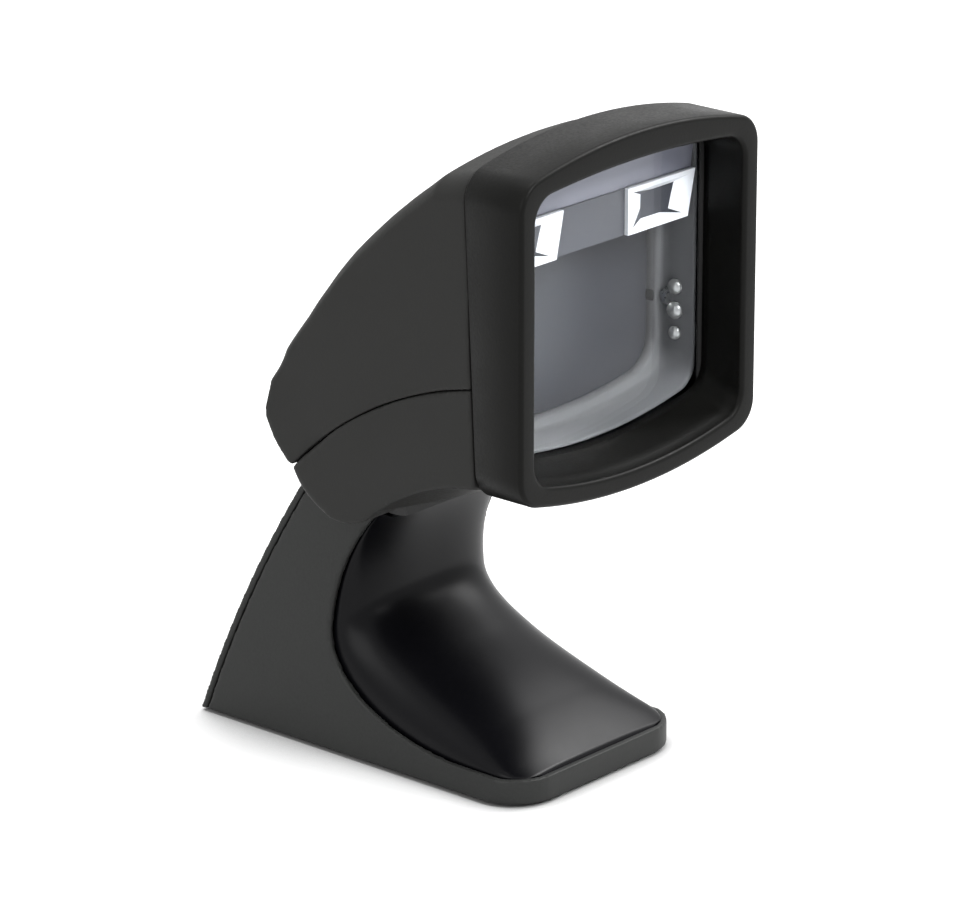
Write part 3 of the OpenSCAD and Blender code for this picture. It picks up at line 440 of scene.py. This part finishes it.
# %% How far the skin moves
MOVE = {-60: 0, -50: 0.6, -42: 1.2, -34: 1.5, -26: 1.7, -22: 0.6, -18: -1.9, -14: -3.8, -10: -4.1, -6: -3.8,
        -2: -3.2, 6: -3.3, 18: -3.4, 30: -3.1, 42: -3.0, 54: -2.8, 70: -2.7, 86: -2.9, 98: -2.8, 106: -2.5,
        112: -1.2, 118: 0.6}
BLUR = 7
move = np.interp(np.degrees(turns), list(MOVE), list(MOVE.values()))
weights = np.hanning(BLUR) / np.hanning(BLUR).sum()
move = np.convolve(np.pad(move, BLUR // 2, mode="edge"), weights, "valid")
print("skin moves from", round(move.min(), 1), "to", round(move.max(), 1), "mm")

# %% Move the covers and the trigger
FIXED_SHARE, FADE_SHARE = 0.5, 0.2
SADDLE_HALF, SADDLE_TOP = 24, 6
for made in covers + [cap]:
    spots = spots_of(made)
    turn, reach = from_middle(spots[:, 1:])
    share = np.clip((reach / np.interp(turn, turns, skin_reach) - FIXED_SHARE) / FADE_SHARE, 0, 1)
    share = share * share * (3 - 2 * share)
    shift = np.interp(turn, turns, move, left=0, right=move[-1]) * share
    over_saddle = (np.abs(spots[:, 0]) < SADDLE_HALF) & (spots[:, 2] < SADDLE_TOP)
    shift[over_saddle & (shift > 0)] = 0
    spots[:, 1] += np.cos(turn) * shift
    spots[:, 2] += np.sin(turn) * shift
    put_back(made, spots)
    print(made.name, "moved by", round(float(np.abs(shift).max()), 1), "mm at most")

# %% [markdown]
# The rump still shows ripples where the table's steps meet the seam. Smoothing the whole cover
# would blunt its front edge, so only the points of the rump are smoothed, by a painted weight
# that fades out upwards, forwards and along the seam.

# %% Smooth the rump
RUMP_DEPTH, RUMP_TOP, RUMP_FADE = 8, 48, 12
SEAM_HEIGHT, SEAM_FADE, SEAM_LEAST = 8, 6, 0.2
for made in covers:
    spots = spots_of(made)
    weight = np.clip(spots[:, 1] / RUMP_DEPTH, 0, 1) * np.clip((RUMP_TOP - spots[:, 2]) / RUMP_FADE, 0, 1)
    weight *= np.clip(np.abs(spots[:, 2] - SEAM_HEIGHT) / SEAM_FADE + SEAM_LEAST, 0, 1)
    rump = made.vertex_groups.new(name="rear")
    for index in np.nonzero(weight > 0.01)[0]:
        rump.add([int(index)], float(weight[index]), "REPLACE")
    calm = made.modifiers.new("calm rear", "SMOOTH")
    calm.factor = 0.5
    calm.iterations = 18
    calm.vertex_group = "rear"
    baked(made)
    print(made.name, "smoothed at", int((weight > 0.01).sum()), "points")

# %% [markdown]
# ## Board screws
# The four screws of the circuit board end in blind posts of the back cover. The cover was just
# made slimmer, so the tips of the screws are drawn in as well. Cutting them would leave open
# ends. Moving the points of a copied mesh keeps their round shape, and needs no new modelling.

# %% Board screws
SCREW_DEPTH = 3.2
screws = frame["nodes"]["board_screws"]
made = bpy.data.objects.new("board_screw_set", screws.data.copy())
bpy.context.scene.collection.objects.link(made)
spots = spots_of(made)
turn, reach = from_middle(spots[:, 1:])
drawn = np.minimum(reach, np.interp(turn, turns, skin_reach + move) - SCREW_DEPTH)
spots[:, 1:] = MIDDLE + np.stack([np.cos(turn), np.sin(turn)], axis=1) * drawn[:, None]
put_back(made, spots)
screw_slot = screws.data.materials[0].name.split(".")[0]
made.data.materials.clear()
made.data.materials.append(FINISH[screw_slot])
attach(made, "head")
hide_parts("board_screws")

skin = bvhtree.BVHTree.FromObject(covers[0], bpy.context.evaluated_depsgraph_get())
outside = 0
for point in made.data.vertices:
    middle = Vector((point.co.x, *((MIDDLE + TILT_AXIS[1:]) * MM)))
    outside += skin.ray_cast(point.co, (point.co - middle).normalized())[0] is None
print("board screws drawn in by", round(float((reach - drawn).max()), 1), "mm, points outside:", outside)

# %% [markdown]
# ## Front panel
# The glossy panel on the stand's front is one moulding that sweeps from a flat toe up into
# the neck. Across the stand it swells out, steeply at the edges and softly in the middle.
# It could be sculpted, but its long highlight shows every dent. A grid worked out from a sweep
# line and a crown is smooth by itself. The sweep is the toe's edge, a quarter of an ellipse and
# an arc of the neck.

# %% Sweep of the front panel
FOOT_T, PANEL_RIM = 6.3, 1.7
SWEEP_Y, SWEEP_Z, SWEEP_L, NECK_R, NECK_TURN = 57.8, 28.0, 43.0, 41.6, math.radians(50)
SWEEP_LOW_Y, SWEEP_DROP = SWEEP_Y - SWEEP_L, SWEEP_Z - FOOT_T
bend = np.linspace(0, math.pi / 2, 400)
neck = np.linspace(0, NECK_TURN, 200)[1:]
sweep_t = np.concatenate([[PANEL_RIM / SWEEP_LOW_Y], 1 + bend / (math.pi / 2), 2 + neck / NECK_TURN])
sweep_y = np.concatenate([[PANEL_RIM], SWEEP_LOW_Y + SWEEP_L * np.sin(bend),
                          SWEEP_Y - NECK_R + NECK_R * np.cos(neck)])
sweep_z = np.concatenate([[FOOT_T], SWEEP_Z - SWEEP_DROP * np.cos(bend), SWEEP_Z + NECK_R * np.sin(neck)])
run = np.concatenate([[0], np.cumsum(np.hypot(np.diff(sweep_y), np.diff(sweep_z)))])
print("panel runs", round(run[-1], 1), "mm from toe to lip")

# %% Width and crown of the front panel
ROWS, COLUMNS = 100, 57
FOOT_W, DRAFT, FOOT_CORNER = 57.2, 0.1, 9.0
CROWN, CROWN_LEAD, CROWN_FULL, CROWN_FADE = 15.3, 22.0, 40.0, 1.3
CROWN_TURN = math.radians(80)
along = np.linspace(0, run[-1], ROWS)
y, z, part_way = (np.interp(along, run, line) for line in (sweep_y, sweep_z, sweep_t))
across = np.sin(np.linspace(-math.pi / 2, math.pi / 2, COLUMNS))
half = FOOT_W / 2 - DRAFT * z - PANEL_RIM
corner = y < FOOT_CORNER
half[corner] += PANEL_RIM - FOOT_CORNER
half[corner] += np.sqrt((FOOT_CORNER - PANEL_RIM) ** 2 - (FOOT_CORNER - y[corner]) ** 2)
to_lip = np.clip((along - CROWN_FULL) / (run[-1] - CROWN_FULL), 0, 1)
crown = CROWN * np.tanh(along / CROWN_LEAD) * np.cos(to_lip * math.pi / 2) ** CROWN_FADE
rise = crown[:, None] * np.sqrt(np.maximum(0, 1 - np.abs(across) ** 3))
print("panel is", round(2 * half.max(), 1), "mm wide, and swells by", round(crown.max(), 1), "mm")

# %% Mesh of the front panel
PANEL_T, INNER_SHARE, CRADLE_R = 2.2, 0.99, 17.6
lean = CROWN_TURN * np.maximum(0, part_way - 1) / 2
out_y, out_z = -np.sin(lean), np.cos(lean)
flat = np.zeros(COLUMNS)
front = np.dstack([half[:, None] * across, y[:, None] + out_y[:, None] * rise,
                   z[:, None] + out_z[:, None] * rise])
back = np.dstack([half[:, None] * across * INNER_SHARE, (y - PANEL_T * out_y)[:, None] + flat,
                  (z - PANEL_T * out_z)[:, None] + flat])
spots = np.concatenate([front.reshape(-1, 3), back.reshape(-1, 3)])
spots += (0, FOOT_FRONT - TILT_AXIS[1], -TILT_AXIS[2])
reach = np.hypot(spots[:, 1], spots[:, 2])
in_cradle = reach < CRADLE_R
spots[in_cradle, 1:] *= (CRADLE_R / reach[in_cradle])[:, None]

last, one_side = ROWS - 1, ROWS * COLUMNS
faces = [(i * COLUMNS + j, i * COLUMNS + j + 1, (i + 1) * COLUMNS + j + 1, (i + 1) * COLUMNS + j)
         for i in range(last) for j in range(COLUMNS - 1)]
faces += [tuple(one_side + k for k in face[::-1]) for face in faces]
edge = [i * COLUMNS for i in range(ROWS)] + [last * COLUMNS + j for j in range(1, COLUMNS)]
edge += [i * COLUMNS + COLUMNS - 1 for i in range(last - 1, -1, -1)] + list(range(COLUMNS - 2, 0, -1))
faces += [(a, b, b + one_side, a + one_side) for a, b in zip(edge, edge[1:] + edge[:1])]
piece("stand_front_panel", spots, faces, "stand", "stand_gloss", ["front_panel"])

# %% [markdown]
# ## Bezel
# The bezel is a near-black frame with bowed top and bottom, and its hood keeps stray light off
# the window. A box with a hole cut in it would need its edges rounded afterwards. It is lofted
# from outlines instead, each at its own depth: back from the seam, round the front rim, and in
# along the hood to the glass. Lofting keeps the small front radius even all round, which gives
# its thin bright line.

# %% Outline of a bowed oblong
ARC_STEPS, CORNER_STEPS, SIDE_STEPS = 34, 12, 30


def bow_radius(width, rise):
    """Radius of an arc that rises by so much over a width."""
    return (width ** 2 / 4 + rise ** 2) / (2 * rise)


def half_bow(width, height, bow, corner):
    """Points from the middle of a bowed edge to the end of its round corner."""
    corner_x = width / 2 - corner
    corner_z = height - bow + math.sqrt((bow - corner) ** 2 - corner_x * corner_x)
    meet = math.atan2(corner_z - height + bow, corner_x)
    arc = [(bow * math.cos(a), height - bow + bow * math.sin(a))
           for a in np.linspace(math.pi / 2, meet, ARC_STEPS)]
    turned = [(corner_x + corner * math.cos(a), corner_z + corner * math.sin(a))
              for a in np.linspace(meet, 0, CORNER_STEPS)[1:]]
    return arc + turned


def outline(width, top, low, top_bow, low_bow, corner):
    """Points round a rounded oblong with bowed top and bottom, as (x, z)."""
    upper = half_bow(width, top, top_bow, corner)
    lower = [(x, -z) for x, z in half_bow(width, -low, low_bow, corner)]
    side = [(width / 2, z) for z in np.linspace(upper[-1][1], lower[-1][1], SIDE_STEPS)[1:-1]]
    right = upper + side + lower[::-1]
    left = [(-x, z) for x, z in right[::-1]][1:-1]
    return np.array(right + left)


# %% Outlines of the bezel
BEZEL_W, BEZEL_TOP, BEZEL_LOW, BEZEL_BOW, BEZEL_CORNER, CORNER_LEAST = 78.4, 75.1, -3.9, 5.2, 7, 3
RIM, HOOD_TOP, HOOD_RISE, HOOD_FALL, HOOD_CORNER, RIM_LOW = 4.8, 68.8, 2.2, 4.4, 6, 4.4
HOOD_W = BEZEL_W - 2 * RIM
bezel_bow = bow_radius(BEZEL_W, BEZEL_BOW)
hood_top_bow, hood_low_bow = bow_radius(HOOD_W, HOOD_RISE), bow_radius(HOOD_W, HOOD_FALL)


def bezel_at(inset):
    return outline(BEZEL_W - 2 * inset, BEZEL_TOP - inset, BEZEL_LOW + inset, bezel_bow - inset,
                   bezel_bow - inset, max(BEZEL_CORNER - inset, CORNER_LEAST))


def hood_at(spread, raised=0.0):
    return outline(HOOD_W + 2 * spread, HOOD_TOP + spread, BEZEL_LOW + RIM_LOW - spread + raised,
                   hood_top_bow, hood_low_bow, HOOD_CORNER + spread)


print("bezel bows on a radius of", round(bezel_bow), "mm")

# %% Bezel
FRONT_Y, WINDOW_Y, SEAM_Y, SEAM_LEAN = -52.9, -41.0, -39.9, math.tan(math.radians(2.8))
RIM_R, HOOD_R, HOOD_DRAFT = 1.0, 1.1, 0.364
REAR_ROUND = [(0.7, 0.35), (0.25, 0.42), (0.0, 0.7)]
SEAT_SPREAD, SEAT_GAP, SEAT_BACK, WALL = 0.5, 0.5, 2.0, 2.6
rings = []


def ring_at(shape, y):
    rings.append([(x, y, z) for x, z in shape])


def ring_on_seam(shape, ahead):
    rings.append([(x, SEAM_Y + SEAM_LEAN * z - ahead, z) for x, z in shape])


for inset, ahead in REAR_ROUND:
    ring_on_seam(bezel_at(inset), ahead)
for a in np.radians(np.linspace(0, 90, 9)):
    ring_at(bezel_at(RIM_R * (1 - math.cos(a))), FRONT_Y + RIM_R * (1 - math.sin(a)))
for a in np.radians(np.linspace(90, 0, 8)):
    ring_at(hood_at(HOOD_R * (1 - math.cos(a))), FRONT_Y + HOOD_R * (1 - math.sin(a)))
for y in np.linspace(FRONT_Y + HOOD_R + 1, WINDOW_Y - SEAT_GAP, 6):
    ring_at(hood_at(0, HOOD_DRAFT * (y - FRONT_Y)), y)
ring_at(hood_at(SEAT_SPREAD), WINDOW_Y - SEAT_GAP)
ring_on_seam(hood_at(SEAT_SPREAD), -SEAT_BACK)
ring_on_seam(bezel_at(WALL), -SEAT_BACK)
ring_on_seam(bezel_at(WALL), 0)
spots = [spot for ring in rings for spot in ring]
piece("bezel_frame", spots, ring_faces(len(rings), len(rings[0]), True), "head", "bezel_black", ["bezel"])

# %% [markdown]
# ## Behind the glass
# A grey liner runs back from the window to a smooth dark plate, which folds the camera's view
# down to the sensor. Both could be boxes, but their bowed edges show through the window. They
# are stacks of the window's own outline, drawn in step by step.

# %% Behind the glass
def opening(half_w, top, low, corner):
    return outline(2 * half_w, top, low, hood_top_bow, hood_low_bow, corner)


def stack(name, shapes, slot, replaced, closed=False):
    """Skins a stack of outlines, each at its own depth, into a closed ring or between two flat ends."""
    spots = [(x, y, z) for shape, y in shapes for x, z in shape]
    cols = len(shapes[0][0])
    faces = ring_faces(len(shapes), cols, closed)
    if not closed:
        faces += [tuple(range(cols))[::-1], tuple(range(len(spots) - cols, len(spots)))]
    return piece(name, spots, faces, "head", slot, replaced)


# half width, top, low, corner and depth of each step of the liner, from the window inwards
LINER = [(34.3, 68.5, 4.3, 6.2, -39.3), (33.9, 68.0, 4.9, 6.4, -38.4), (33.2, 66.9, 6.0, 7.0, -33.0),
         (33.0, 66.6, 6.3, 7.2, -31.4), (32.6, 66.1, 6.8, 7.6, -30.9), (31.6, 65.0, 7.9, 8.0, -30.7),
         (31.1, 64.5, 8.4, 8.0, -30.2), (31.0, 64.4, 8.5, 8.0, -27.0)]
LINER_WALL = 1.0
shapes = [(opening(w, top, low, c), y) for w, top, low, c, y in LINER]
shapes += [(opening(w + LINER_WALL, top + LINER_WALL, low - LINER_WALL, c), y)
           for w, top, low, c, y in LINER[::-1][:-1]]
stack("chamber_liner", shapes, "chamber_grey", ["optical_chamber"], closed=True)

# depth and share of the full size of each step of the plate, which rounds its front edge
PLATE = [(-26.4, 1.0), (-27.7, 1.0), (-28.0, 0.997), (-28.1, 0.985)]
PLATE_MIDDLE = 36
plate = opening(31.3, 64.7, 8.2, 8.0)
stack("mirror_plate", [(plate * share + (0, PLATE_MIDDLE * (1 - share)), y) for y, share in PLATE],
      "mirror_dark", ["fold_mirror"])

# %% [markdown]
# ## Light bar and lenses
# Lamps behind two clear blocks light the goods that are held to the window. Real blocks are
# moulded with flat facets that throw the light forward. Clear glass with lamps behind it would
# be truer, but it needs far more light paths. So the blocks are painted: sharp flat-shaded
# facets, painted white with a few painted dark, sunk into a frame painted white, give the same
# hard glitter as painted highlights and painted reflections, so these pieces aren't smoothed.

# %% Light bar
BAR_TOP, BAR_LOW = 57.4, 46.6
BAR_REAR, SHADE_HALF, BAR_HALF_TOP, BAR_HALF_LOW = -33.0, 33.4, 33.2, 32.2


def strip_face(half_top, half_low, y_top, y_low, z_top, z_low):
    """Four corners of an upright strip, from the top left round."""
    return [(-half_top, y_top, z_top), (half_top, y_top, z_top),
            (half_low, y_low, z_low), (-half_low, y_low, z_low)]


def strip(name, front, rear, replaced, finish):
    """A six-sided strip between its front and rear faces."""
    faces = [(0, 1, 2, 3), (7, 6, 5, 4), (0, 4, 5, 1), (1, 5, 6, 2), (2, 6, 7, 3), (3, 7, 4, 0)]
    piece(name, front + rear, faces, "head", "strip_grey", replaced, smooth=False, finish=finish)


strip("light_shade", strip_face(SHADE_HALF, SHADE_HALF, -39.2, -38.2, 67.0, BAR_TOP),
      strip_face(SHADE_HALF, SHADE_HALF, -37.0, -36.6, 67.2, BAR_TOP), ["light_strip"], "strip_grey")
strip("light_bar", strip_face(BAR_HALF_TOP, BAR_HALF_LOW, -38.6, -37.6, BAR_TOP, BAR_LOW),
      strip_face(BAR_HALF_TOP, BAR_HALF_LOW, BAR_REAR, BAR_REAR, BAR_TOP, BAR_LOW), [], "bar_grey")

# %% Lens blocks
LENS_FRONT, LENS_SLOPE, LENS_REAR, LENS_TAPER = -39.55, 0.09, -33.2, 1.2
FRAME_SINK, WELL_SINK = 0.1, 1.5
# share of the block's width, and height from its top (below 0) or its foot (above 0)
FRAME = [(0.09, -1.2), (0.92, -1.0), (0.86, 1.2), (0.12, 1.3)]
WELL = [(0.34, -3.4), (0.62, -2.8), (0.58, 3.9), (0.37, 3.4)]
# facets painted dark, as painted reflections in the white block: side of the well and its finish slot
PAINTED_DARK_FACETS = {0: 1, 2: 2, 3: 1}


def lens_block(name, x0, x1, replaced):
    """Clear moulded block: a bright frame round a sunk four-sided well with facets to its corners."""
    def on_front(x, z, sink=0.0):
        return x, LENS_FRONT + (BAR_TOP - z) * LENS_SLOPE + sink, z

    def corners(shares):
        return [(x0 + share * (x1 - x0), (BAR_TOP if up < 0 else BAR_LOW) + up) for share, up in shares]

    block = [(x0, BAR_TOP), (x1, BAR_TOP), (x1 - LENS_TAPER, BAR_LOW), (x0 + LENS_TAPER, BAR_LOW)]
    spots = [on_front(*c) for c in block]
    spots += [on_front(*c, FRAME_SINK) for c in corners(FRAME)]
    spots += [on_front(*c, WELL_SINK) for c in corners(WELL)]
    spots += [(x, LENS_REAR, z) for x, z in block]
    faces = []
    for side in range(4):
        after = (side + 1) % 4
        faces += [(side, after, 4 + after, 4 + side), (4 + side, 4 + after, 8 + after),
                  (4 + side, 8 + after, 8 + side), (after, side, 12 + side, 12 + after)]
    faces += [(8, 9, 10, 11), (15, 14, 13, 12)]
    made = piece(name, spots, faces, "head", "clear_lens", replaced, smooth=False)
    made.data.materials.append(FINISH["bar_grey"])
    made.data.materials.append(FINISH["mirror_dark"])
    for side, dark in PAINTED_DARK_FACETS.items():
        made.data.polygons[4 * side + 2].material_index = dark


LENS_INNER, LENS_OUTER = 10.6, 33.3
lens_block("light_lens_left", -LENS_OUTER, -LENS_INNER, ["illumination_lens_left"])
lens_block("light_lens_right", LENS_INNER, LENS_OUTER, ["illumination_lens_right"])

# %% [markdown]
# ## Status lights
# Three small domes on the chamber's side wall show the user a good read. Halves of spheres
# would do, but moulded light pipes are a little flattened, so each is turned from its own rings.

# %% Status lights
DOMES = [(29.6, 1.9), (24.2, 2.1), (19.0, 1.7)]  # height and radius
DOME_X, DOME_Y, DOME_FLAT, DOME_SIDES = 33.1, -34.6, 0.9, 20
DOME_RINGS = np.radians([0, 18, 36, 54, 72, 88])
spots, faces = [], []
for height, size in DOMES:
    base = len(spots)
    for up in DOME_RINGS:
        for a in np.linspace(0, 2 * math.pi, DOME_SIDES, endpoint=False):
            spots.append((DOME_X - size * DOME_FLAT * math.sin(up),
                          DOME_Y + size * math.cos(up) * math.cos(a),
                          height + size * math.cos(up) * math.sin(a)))
    faces += [tuple(base + k for k in face) for face in ring_faces(len(DOME_RINGS), DOME_SIDES)]
    faces += [tuple(range(len(spots) - DOME_SIDES, len(spots)))]
    faces += [tuple(range(base, base + DOME_SIDES))[::-1]]
piece("status_lights", spots, faces, "head", "led", ["indicator_leds"], finish="lamp_clear")
